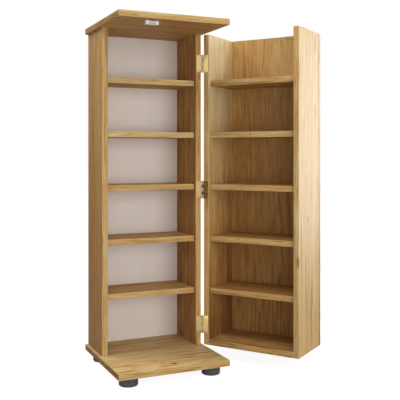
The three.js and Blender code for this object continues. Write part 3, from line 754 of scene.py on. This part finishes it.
def growScrews(name, family, points, tree, tarnishAndShade=None):
    # points are (place, direction that the head faces), and the darkening, tarnish with painted shade, is one
    # value for each
    mesh = bpy.data.meshes.new(name)
    mesh.from_pydata([point for point, outward in points], [], [])
    directions = mesh.attributes.new("outward", "FLOAT_VECTOR", "POINT")
    for i, (point, outward) in enumerate(points):
        directions.data[i].vector = outward
    if tarnishAndShade:
        mesh.attributes.new("tarnishAndShade", "FLOAT", "POINT").data.foreach_set("value", tarnishAndShade)
    screws = addObject(name, mesh)
    recess = family.get("recess") or [family["sizes"][0] * share for share in screwShares["recess"]]
    runTree(screws, tree, {
        **dict(zip(screwSizes + recessSizes, (*family["sizes"], *recess))),
        "Seed": family["seed"], "Finish": family["finish"][0]})
    finishPiece(screws, family["finish"], family["names"])


def buildScrews(tree):
    for piece, family in screwFamilies.items():
        outward, crown = Vector(family["outward"]), family["sizes"][2]
        axis = max(range(3), key=lambda i: abs(outward[i]))
        points = []
        for name in family["names"]:
            low, high = cornersOf(name)
            seat = (low + high) / 2
            seat[axis] = (high if outward[axis] > 0 else low)[axis] - outward[axis] * crown
            points.append((seat, outward))
        # hinge screws take their leaf's tarnish and painted shade
        tarnishAndShade = [hingeLook["tarnishAndShade"].get(name.split("_screw")[0] + "_leaf", 0.0) for name in family["names"]]
        growScrews(piece, family, points, tree, tarnishAndShade)


# The thin back panel, with the heads of the nails that hold it
backPanel = {
    "edgeRadius": 0.0003, "sunk": 0.0003,  # its face lies a little in from the boards' back edges
    "nailRise": 0.105, "nailInset": 0.006, "nailMargin": 0.012,  # along its sides
    "nailsAcross": 3,  # into each shelf
    "nails": {
        "names": [], "finish": steel, "seed": 4, "sizes": (0.0017, 0.0002, 0.00022, 0.0006, 0.012, 0.002),
        "recess": (0.0002, 0.0001, 0.00002)},
}


def buildBack(tree):
    look, margin = backPanel, backPanel["nailMargin"]
    low, high = cornersOf("back_panel")
    high.y -= look["sunk"]
    finishPiece(slabPiece("back_panel", low, high, look["edgeRadius"]), backing, ["back_panel"])
    count = int((high.z - low.z) / look["nailRise"])
    places = [(side, low.z + margin + (high.z - low.z - 2 * margin) * i / count)
              for side in (low.x + look["nailInset"], high.x - look["nailInset"]) for i in range(count + 1)]
    for i in range(boardLook["shelfCount"]):
        height = centreOf("shelf_" + str(i + 1)).z
        places += [(low.x + (high.x - low.x) * (k + 1) / (look["nailsAcross"] + 1), height)
                   for k in range(look["nailsAcross"])]
    growScrews("back_nails", look["nails"], [((x, high.y, z), (0, 1, 0)) for x, z in places], tree)


# Hinges: leaves of pressed brass whose knuckles alternate along a pin with domed heads
hingeLook = {
    "cornerRadius": 0.0016, "cornerSteps": 5, "edge": 0.00015, "edgeSegments": 2, "edgeAngle": 50,
    "nearFace": 0.0001, "farFace": 0.0011,  # a leaf's faces, from the plane where the two leaves meet
    "plateEnd": 0.0036, "fingerEnd": 0.0024,  # from the hinge axis
    "knuckleRadius": 0.003, "boreRadius": 0.00165, "knuckleEdge": 0.00035, "knuckles": 5, "gap": 0.0003,
    "sink": (0.0028, 0.0012, 0.0018),
    "pinRadius": 0.0015, "pinHead": 0.0022, "pinHeadHeight": 0.0006,
    "pinDome": ((0.45, 0.00004), (0.8, 0.00018), (1.0, 0.0004)),  # share of the radius, and how far down
    # how dark each leaf and its screws are: tarnish spots, with painted shade that makes some leaves darker than
    # others and the middle door leaf dark all over
    "tarnishAndShade": {
        "low_hinge_cabinet_leaf": 0.10, "low_hinge_door_leaf": 0.0, "middle_hinge_cabinet_leaf": 0.12,
        "middle_hinge_door_leaf": 1.0, "top_hinge_cabinet_leaf": 0.0, "top_hinge_door_leaf": 0.20},
    "barrelShade": 0.34, "barrelReach": 1.1,  # more of it on the knuckles, a painted shade along the barrel, out to this many radii
}


def knuckleTree():
    # joins a leaf's plate with its row of bored, round-edged knuckles along the hinge axis
    labels = ("Knuckle Radius", "Bore Radius", "Edge", "Pitch", "Gap", "First Middle")
    tree, (plate, outer, bore, edge, pitch, gap, firstMiddle, count, finish) = newTree(
        "knuckles", {**dict.fromkeys(labels, "Float"), "Count": "Int"})
    half = calc(tree, "MULTIPLY", calc(tree, "SUBTRACT", pitch, gap), 0.5)
    minusHalf = calc(tree, "MULTIPLY", half, -1.0)
    inner = calc(tree, "SUBTRACT", outer, edge)
    low, high = calc(tree, "ADD", minusHalf, edge), calc(tree, "SUBTRACT", half, edge)
    barrel = latheNodes(tree, [(inner, minusHalf), (outer, low), (outer, high), (inner, half)], roundSteps)
    twoPitches = calc(tree, "MULTIPLY", pitch, 2.0)
    drill = shapeNode(tree, "MeshCylinder", {"Vertices": roundSteps, "Radius": bore, "Depth": twoPitches})
    shapes = {"Mesh 1": barrel, "Mesh 2": drill}
    bored = shapeNode(tree, "MeshBoolean", shapes, operation="DIFFERENCE", solver="EXACT")
    line = shapeNode(tree, "MeshLine", {
        "Count": count, "Start Location": makeVector(tree, 0.0, 0.0, firstMiddle),
        "Offset": makeVector(tree, 0.0, 0.0, twoPitches)})
    copies = shapeNode(tree, "InstanceOnPoints", {"Points": line, "Instance": bored})
    joined = addNode(tree, "GeometryNodeJoinGeometry", {0: copies})
    setInputs(tree, joined, {0: plate})
    return endTree(tree, joined.outputs[0], finish)


def leafPlate(name, low, high, fingers):
    # the flat part of a leaf in X and Z, with fingers that reach into its knuckles
    look = hingeLook
    last, pitch, halfGap = look["knuckles"] - 1, (high.z - low.z) / look["knuckles"], look["gap"] / 2
    left, right, reach = low.x, hingePoint.x - look["plateEnd"], hingePoint.x - look["fingerEnd"]
    radius = look["cornerRadius"]
    outline = [(left + radius + radius * x, middleZ + radius * y)
               for middleZ, turned in ((high.z - radius, 90), (low.z + radius, 180))
               for x, y in arc(turned, look["cornerSteps"])]
    if 0 not in fingers:
        outline.append((right, low.z))
    for i in fingers:
        start = low.z + i * pitch + (halfGap if i else 0.0)
        end = low.z + (i + 1) * pitch - (halfGap if i < last else 0.0)
        outline += ([(right, start)] if i else []) + [(reach, start), (reach, end)]
        outline += [(right, end)] if i < last else []
    if last not in fingers:
        outline.append((right, high.z))
    shape = bmesh.new()
    face = shape.faces.new([shape.verts.new((x, high.y, z)) for x, z in outline])
    face.normal_update()
    if face.normal.y < 0:
        face.normal_flip()
    pushed = bmesh.ops.extrude_face_region(shape, geom=[face])["geom"]
    corners = [part for part in pushed if isinstance(part, bmesh.types.BMVert)]
    bmesh.ops.translate(shape, verts=corners, vec=(0, low.y - high.y, 0))
    bmesh.ops.recalc_face_normals(shape, faces=shape.faces)
    piece = addObject(name, meshFrom(shape, name))
    bevel = piece.modifiers.new("edges", "BEVEL")
    bevel.width = look["edge"]
    bevel.segments = look["edgeSegments"]
    bevel.limit_method = "ANGLE"
    bevel.angle_limit = math.radians(look["edgeAngle"])
    bakeModifiers(piece)
    return piece


def buildLeaf(tree, level, body, firstKnuckle, facing):
    # facing is -1 or 1, the way along Y that the leaf's countersinks open
    look = hingeLook
    name = f"{level}_hinge_{body}_leaf"
    low, high = cornersOf(name)
    near, far = hingePoint.y - facing * look["nearFace"], hingePoint.y - facing * look["farFace"]
    low.y, high.y = min(near, far), max(near, far)
    fingers = range(firstKnuckle, look["knuckles"], 2)
    piece = leafPlate(name, low, high, fingers)
    sinks = []
    for screw in hingeScrewNames(body, (level,)):
        seat = centreOf(screw)
        seat.y = near
        sinks.append(sinkCutter(seat, Vector((0, facing, 0)), look["sink"]))
    cutAway(piece, sinks)
    pitch = (high.z - low.z) / look["knuckles"]
    toAxis = Matrix.Translation((hingePoint.x, hingePoint.y, low.z))
    piece.data.transform(toAxis.inverted())
    runTree(piece, tree, {
        "Knuckle Radius": look["knuckleRadius"], "Bore Radius": look["boreRadius"],
        "Edge": look["knuckleEdge"], "Pitch": pitch, "Gap": look["gap"],
        "First Middle": pitch * (firstKnuckle + 0.5), "Count": len(fingers), "Finish": brass[0]})
    piece.data.transform(toAxis)
    # tarnish with painted shade, more of it on the barrel
    wearAndShade = piece.data.attributes.new("tarnishAndShade", "FLOAT", "POINT")
    for vertex in piece.data.vertices:
        fromAxis = math.hypot(vertex.co.x - hingePoint.x, vertex.co.y - hingePoint.y)
        onBarrel = look["barrelShade"] if fromAxis < look["knuckleRadius"] * look["barrelReach"] else 0.0
        wearAndShade.data[vertex.index].value = min(look["tarnishAndShade"][name] + onBarrel, 1.0)
    finishPiece(piece, brass, [name])


def buildHinges(tree):
    look = hingeLook
    radius, head, tall = look["pinRadius"], look["pinHead"], look["pinHeadHeight"]
    for level in hingeLevels:
        buildLeaf(tree, level, "cabinet", 0, -1)
        buildLeaf(tree, level, "door", 1, 1)
        name = f"{level}_hinge_pin"
        low, high = cornersOf(name)
        outline = [
            (0, high.z), *((head * share, high.z - drop) for share, drop in look["pinDome"]),
            (head, high.z - tall), (radius, high.z - tall), (radius, low.z + tall), (head, low.z + tall),
            *((head * share, low.z + drop) for share, drop in reversed(look["pinDome"])), (0, low.z)]
        move = Matrix.Translation((hingePoint.x, hingePoint.y, 0))
        finishPiece(turnedPiece(name, outline, roundSteps, move), brass, [name])


# Feet: moulded discs with a round lower rim, a fine mould line and a stepped recess for the screw
footLook = {
    "topBevel": 0.001, "bevelSteps": 3, "rim": 0.004, "rimSteps": 8,
    "mouldLine": 0.0105, "lineWidth": 0.0005, "lineDepth": 0.00015,
    "recess": 0.009, "recessEdge": (0.0012, 0.0007), "web": 0.006, "hole": 0.0023, "steps": 96,
}


def buildFeet():
    look = footLook
    bevel, rim, line, wide = look["topBevel"], look["rim"], look["mouldLine"], look["lineWidth"]
    hole, recess, (edgeOut, edgeUp) = look["hole"], look["recess"], look["recessEdge"]
    bevelArc, rimArc = arc(0, look["bevelSteps"]), arc(0, look["rimSteps"])
    for corner in footCorners:
        name = "foot_" + corner
        low, high = cornersOf(name)
        radius, top = (high.x - low.x) / 2, high.z
        outline = [
            (hole, top), *((radius - bevel * (1 - y), top - bevel * (1 - x)) for x, y in bevelArc),
            (radius, line + wide), (radius - look["lineDepth"], line), (radius, line - wide),
            *((radius - rim * (1 - x), rim * (1 - y)) for x, y in rimArc),
            (recess + edgeOut, 0.0), (recess, edgeUp), (recess, top - look["web"]), (hole, top - look["web"])]
        move = Matrix.Translation(((low.x + high.x) / 2, (low.y + high.y) / 2, 0))
        finishPiece(turnedPiece(name, outline, look["steps"], move, closed=True), greyPlastic, [name])


# Catch: a moulded housing, its magnet between two pole plates, and the strike plate on the door
catchLook = {
    "edge": 0.0009, "edgeSteps": 4, "cornerRadius": 0.0022, "pocketGap": 0.00015, "frontWall": 0.0009,
    "screwWell": 0.0031, "wellDepth": 0.0058, "overrun": 0.002,  # of slots and wells past the housing
    "plateEdge": 0.0003, "magnetEdge": 0.0004,
    "strikeEdge": 0.00025, "strikeCorner": 0.0018, "strikeSink": (0.0028, 0.0012, 0.0018),
}


def buildCatch():
    look = catchLook
    low, high = cornersOf("catch_housing")
    gap = Vector((look["pocketGap"],) * 3)
    plates, magnet = ("catch_lower_pole_plate", "catch_upper_pole_plate"), "catch_magnet"
    cutters = []
    for name in (*plates, magnet):
        slotLow, slotHigh = cornersOf(name)
        slotLow.y = low.y + look["frontWall"] if name == magnet else slotLow.y - look["overrun"]
        cutters.append(slabPiece("cutter", slotLow - gap, slotHigh + gap, cutterLook["blockEdge"], steps=1))
    well, deep, under = look["screwWell"], look["wellDepth"], -look["overrun"]
    for name in screwFamilies["catch_screws"]["names"]:
        seat = centreOf(name)
        seat.z = low.z
        outline = [(0, deep), (well, deep), (well, under), (0, under)]
        cutters.append(turnedPiece("cutter", outline, roundSteps, Matrix.Translation(seat)))
    housing = slabPiece("catch_housing", low, high, look["edge"], look["edgeSteps"], look["cornerRadius"])
    cutAway(housing, cutters)
    finishPiece(housing, whitePlastic, ["catch_housing"])
    for name in plates:
        finishPiece(slabPiece(name, *cornersOf(name), look["plateEdge"]), steel, [name])
    low, high = cornersOf(magnet)
    low.y += look["frontWall"]
    finishPiece(slabPiece(magnet, low, high, look["magnetEdge"]), ferrite, [magnet])

    low, high = cornersOf("strike_plate")
    strike = slabPiece("strike_plate", low, high, look["strikeEdge"], look["edgeSteps"], look["strikeCorner"])
    seat = centreOf("strike_screw")
    seat.y = high.y
    cutAway(strike, [sinkCutter(seat, Vector((0, 1, 0)), look["strikeSink"])])
    finishPiece(strike, darkReflectionSteel, ["strike_plate"])


screwNodes = screwTree()
buildBoards()
print("boards and shelves built")
buildBack(screwNodes)
buildScrews(screwNodes)
print("back panel, nails and screws built")
buildHinges(knuckleTree())
print("hinges built")
buildFeet()
buildCatch()
print("feet and catch built")

# Floor, light and camera
setLook = {
    "floorSize": 40.0, "floorColour": (0.45, 0.45, 0.44), "floorRoughness": 0.9, "floorGlow": 0.90,
    "floorSheen": 0.30, "backdropSheen": 0.92,  # how bright floor and backdrop are in metal and sheen
    "ambient": 0.26, "ambientColour": (1.0, 0.985, 0.96), "lampColour": (1.0, 0.985, 0.96),
    "lamps": {  # place, aim, size and watts, then the kind of ray that doesn't see it
        "front": ((0.42, -2.85, 0.62), (0.0, 0.0, 0.5), 2.0, 37, "glossy"),
        "lowLeft": ((-0.8, -2.4, 0.22), (-0.1, 0.1, 0.6), 1.2, 9.5, "glossy"),
        "aboveLeft": ((-0.8, -1.4, 2.9), (0.1, 0.0, 0.5), 1.4, 20, None),
        "aboveRight": ((2.0, -1.0, 2.1), (0.2, 0.0, 0.7), 0.8, 16.5, None),
        "left": ((-1.3, 0.6, 2.3), (-0.2, 0.0, 0.8), 1.0, 20, "glossy"),
        # bright cards that only show as sheen, on the door's side and in the brass
        "rightCard": ((2.6, 0.45, 0.82), (0.2, -0.1, 0.70), 1.6, 110, "diffuse"),
        "leftCard": ((-2.8, -1.0, 0.7), (0.0, 0.0, 0.5), 2.0, 21, "diffuse"),
    },
}
cameraLook = {
    "place": (-0.84725, -1.78636, 0.58908), "yaw": -24.096, "lens": 63.169, "sensor": 36,
    "shift": (0.01525, -0.11428), "clipEnd": 100,
}


def seenDirectly(tree, sheen):
    # 1 for what the camera sees, and less for what it sees in metal or sheen
    path = addNode(tree, "ShaderNodeLightPath").outputs
    seen = calc(tree, "MAXIMUM", path["Is Camera Ray"], path["Is Transmission Ray"])
    return calc(tree, "MAXIMUM", seen, calc(tree, "MULTIPLY", path["Is Glossy Ray"], sheen))


def buildFloor():
    look = setLook
    half = look["floorSize"] / 2
    mesh = bpy.data.meshes.new("floor")
    corners = [(-half, -half, 0), (half, -half, 0), (half, half, 0), (-half, half, 0)]
    mesh.from_pydata(corners, [], [(0, 1, 2, 3)])
    floor = addObject("floor", mesh)
    material, tree, shader = newMaterial("paleFloor")
    glow = calc(tree, "MULTIPLY", seenDirectly(tree, look["floorSheen"]), look["floorGlow"])
    setInputs(tree, shader, {
        "Base Color": (*look["floorColour"], 1), "Roughness": look["floorRoughness"],
        "Specular IOR Level": 0.0, "Emission Color": (1, 1, 1, 1), "Emission Strength": glow})
    mesh.materials.append(material)


def buildLight():
    look = setLook
    world = bpy.data.worlds.new("studio")
    bpy.context.scene.world = world
    world.use_nodes = True
    tree = world.node_tree
    tree.nodes.clear()
    soft, white = [
        addNode(tree, "ShaderNodeBackground", {"Color": (*colour, 1), "Strength": strength}).outputs[0]
        for colour, strength in ((look["ambientColour"], look["ambient"]), ((1, 1, 1), 1.0))]
    seen = seenDirectly(tree, look["backdropSheen"])
    chosen = addNode(tree, "ShaderNodeMixShader", {0: seen, 1: soft, 2: white}).outputs[0]
    addNode(tree, "ShaderNodeOutputWorld", {0: chosen})
    for name, (place, aim, size, watts, unseenBy) in look["lamps"].items():
        light = bpy.data.lights.new(name, "AREA")
        light.size = size
        light.energy = watts
        light.color = look["lampColour"]
        lamp = addObject(name, light)
        lamp.visible_diffuse = unseenBy != "diffuse"
        lamp.visible_glossy = unseenBy != "glossy"
        lamp.location = place
        lamp.rotation_euler = (Vector(aim) - Vector(place)).to_track_quat("-Z", "Y").to_euler()


def buildCamera():
    look = cameraLook
    camera = bpy.data.cameras.new("camera")
    camera.sensor_width = look["sensor"]
    camera.lens = look["lens"]
    camera.shift_x, camera.shift_y = look["shift"]
    camera.clip_end = look["clipEnd"]
    viewer = addObject("camera", camera)
    viewer.location = look["place"]
    viewer.rotation_euler = (math.radians(90), 0, math.radians(look["yaw"]))
    bpy.context.scene.camera = viewer
    bpy.context.scene.view_settings.view_transform = "Standard"


buildFloor()
buildLight()
buildCamera()
print("floor, light and camera set")
